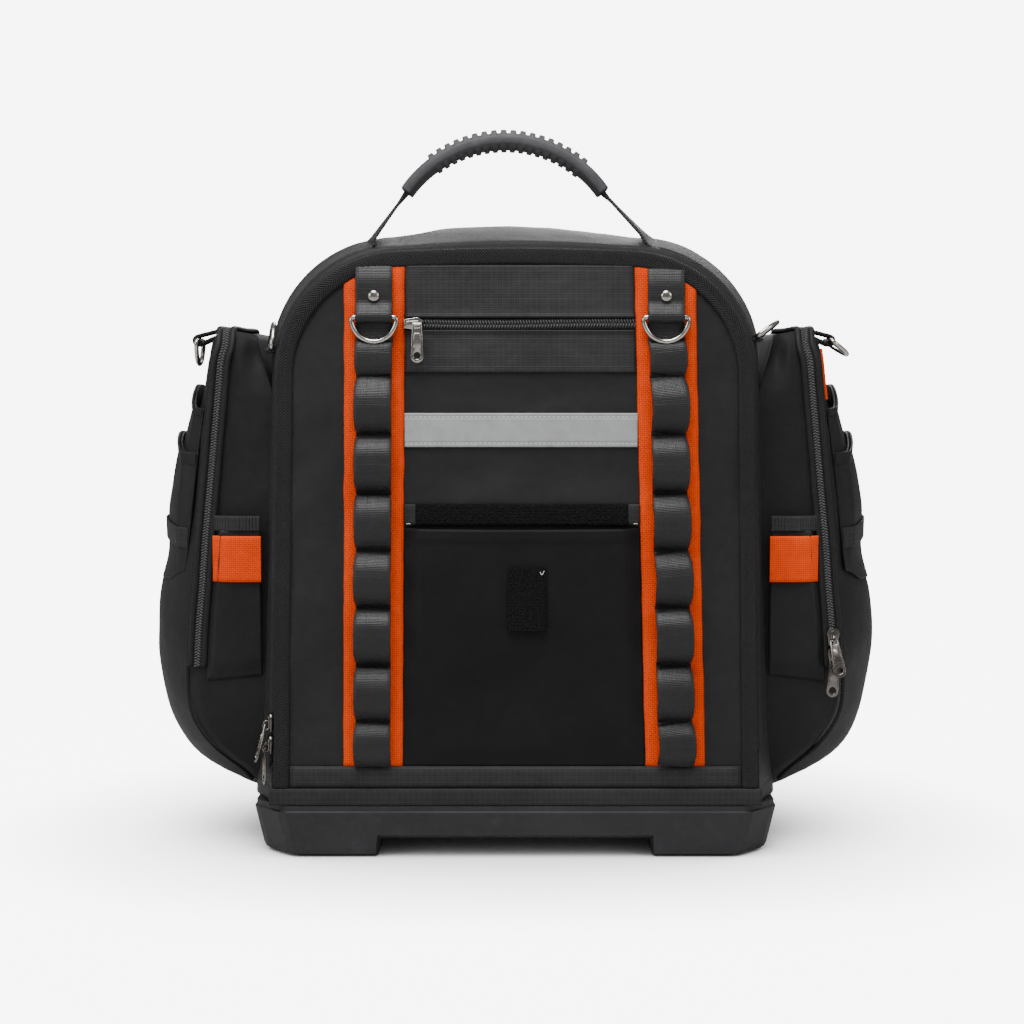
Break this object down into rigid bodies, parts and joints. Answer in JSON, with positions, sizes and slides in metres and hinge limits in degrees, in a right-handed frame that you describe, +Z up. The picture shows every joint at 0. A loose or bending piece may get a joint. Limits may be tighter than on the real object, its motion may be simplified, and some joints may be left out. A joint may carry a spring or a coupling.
{
  "type": "tool backpack",
  "caption": "Soft black tool backpack on a moulded rubber tub, with side pockets, tool loops on orange tape, D-rings, a slip pocket, a ribbed top grip and shoulder straps.",
  "frame": {"origin": "On the ground under the middle of the bag's bounding box", "axes": "+X runs to the right as seen from the front, +Y from the front panel to the wearer's back, +Z up"},
  "size_m": [0.5384, 0.2654, 0.5125],
  "materials": {
    "coated_cloth": "Charcoal coated polyester with a soft sheen",
    "webbing": "Black woven webbing, grosgrain and twill binding",
    "orange_webbing": "Bright orange woven webbing",
    "reflective_tape": "Silver grey reflective tape, stitched along both edges",
    "hook_tape": "Black hook and loop tape",
    "zip": "Black coil zip",
    "base_rubber": "Dark grey moulded rubber with a satin face",
    "grip_rubber": "Dark grey matt moulded rubber",
    "nickel": "Polished nickel plate",
    "gunmetal": "Dark nickel plate, slightly worn at the edges"
  },
  "bodies": {
    "bag": {"base_tub": "base_rubber", "body_shell": "coated_cloth", "main_zip": "zip", "base_hem": "webbing", "front_panel": "coated_cloth", "front_binding": "webbing", "hem_strip": "webbing", "orange_tape_left": "orange_webbing", "tool_loops_left": "webbing", "ring_tab_left": "webbing", "rivet_left": "gunmetal", "orange_tape_right": "orange_webbing", "tool_loops_right": "webbing", "ring_tab_right": "webbing", "rivet_right": "gunmetal", "zip_band_upper": "webbing", "zip_band_lower": "webbing", "front_zip": "zip", "reflective_strip": "reflective_tape", "slip_pocket": "coated_cloth", "hook_strip": "hook_tape", "hook_patch": "hook_tape", "front_zip_slider": "gunmetal", "handle_strap": "webbing", "handle_grip": "grip_rubber", "side_pocket_left": "coated_cloth", "side_zip_left": "zip", "stash_pocket_left": "coated_cloth", "stash_elastic_left": "webbing", "orange_tab_left": "orange_webbing", "outer_pocket_left": "coated_cloth", "side_pocket_right": "coated_cloth", "side_zip_right": "zip", "stash_pocket_right": "coated_cloth", "stash_elastic_right": "webbing", "orange_tab_right": "orange_webbing", "outer_pocket_right": "coated_cloth", "pocket_ring_tab_left": "webbing", "pocket_ring_tab_right": "webbing", "side_zip_right_upper_slider": "gunmetal", "side_zip_right_lower_slider": "gunmetal", "side_zip_left_slider": "gunmetal", "main_zip_upper_slider": "gunmetal", "main_zip_lower_slider": "gunmetal", "back_pad": "coated_cloth", "shoulder_strap_left": "coated_cloth", "shoulder_strap_right": "coated_cloth"},
    "d_ring_front_left_body": {"d_ring_front_left": "nickel"},
    "d_ring_front_right_body": {"d_ring_front_right": "nickel"},
    "d_ring_side_left_body": {"d_ring_side_left": "nickel"},
    "d_ring_side_right_body": {"d_ring_side_right": "nickel"},
    "d_ring_pocket_left_body": {"d_ring_pocket_left": "nickel"},
    "d_ring_pocket_right_body": {"d_ring_pocket_right": "nickel"},
    "front_zip_pull_body": {"front_zip_pull": "gunmetal"},
    "side_zip_right_upper_pull_body": {"side_zip_right_upper_pull": "gunmetal"},
    "side_zip_right_lower_pull_body": {"side_zip_right_lower_pull": "gunmetal"},
    "side_zip_left_pull_body": {"side_zip_left_pull": "gunmetal"},
    "main_zip_upper_pull_body": {"main_zip_upper_pull": "gunmetal"},
    "main_zip_lower_pull_body": {"main_zip_lower_pull": "gunmetal"}
  },
  "joints": [
    {"name": "d_ring_front_left_hinge", "type": "hinge", "parent": "bag", "child": "d_ring_front_left_body", "pos_m": [-0.09799, -0.12553, 0.3824], "axis": [1, 0, 0], "range_deg": [-140, 0]},
    {"name": "d_ring_front_right_hinge", "type": "hinge", "parent": "bag", "child": "d_ring_front_right_body", "pos_m": [0.10426, -0.12553, 0.3824], "axis": [1, 0, 0], "range_deg": [-140, 0]},
    {"name": "d_ring_side_left_hinge", "type": "hinge", "parent": "bag", "child": "d_ring_side_left_body", "pos_m": [-0.17386, -0.09222, 0.3615], "axis": [-0.1748, 0.9846, 0], "range_deg": [-34, 0]},
    {"name": "d_ring_side_right_hinge", "type": "hinge", "parent": "bag", "child": "d_ring_side_right_body", "pos_m": [0.17203, -0.09222, 0.3695], "axis": [0.1761, 0.9844, 0], "range_deg": [-58, 0]},
    {"name": "d_ring_pocket_left_hinge", "type": "hinge", "parent": "bag", "child": "d_ring_pocket_left_body", "pos_m": [-0.2295, -0.0576, 0.367], "axis": [0, 1, 0], "range_deg": [-10, 150]},
    {"name": "d_ring_pocket_right_hinge", "type": "hinge", "parent": "bag", "child": "d_ring_pocket_right_body", "pos_m": [0.2275, -0.0576, 0.367], "axis": [0, 1, 0], "range_deg": [-140, 0]},
    {"name": "front_zip_pull_hinge", "type": "hinge", "parent": "bag", "child": "front_zip_pull_body", "pos_m": [-0.068, -0.1282, 0.3778], "axis": [1, 0, 0], "range_deg": [-150, 8]},
    {"name": "side_zip_right_upper_pull_hinge", "type": "hinge", "parent": "bag", "child": "side_zip_right_upper_pull_body", "pos_m": [0.22774, -0.0998, 0.153], "axis": [0.9903, 0, 0.1392], "range_deg": [-150, 0]},
    {"name": "side_zip_right_lower_pull_hinge", "type": "hinge", "parent": "bag", "child": "side_zip_right_lower_pull_body", "pos_m": [0.22849, -0.0998, 0.139], "axis": [0.9976, 0, -0.0698], "range_deg": [-30, 8]},
    {"name": "side_zip_left_pull_hinge", "type": "hinge", "parent": "bag", "child": "side_zip_left_pull_body", "pos_m": [-0.22849, 0.0566, 0.139], "axis": [-1, 0, 0], "range_deg": [-150, 10]},
    {"name": "main_zip_upper_pull_hinge", "type": "hinge", "parent": "bag", "child": "main_zip_upper_pull_body", "pos_m": [-0.17835, -0.11215, 0.094], "axis": [0.3116, -0.8985, 0.309], "range_deg": [-150, 0]},
    {"name": "main_zip_lower_pull_hinge", "type": "hinge", "parent": "bag", "child": "main_zip_lower_pull_body", "pos_m": [-0.17867, -0.11221, 0.078], "axis": [0.3364, -0.9411, -0.0349], "range_deg": [-30, 8]}
  ]
}
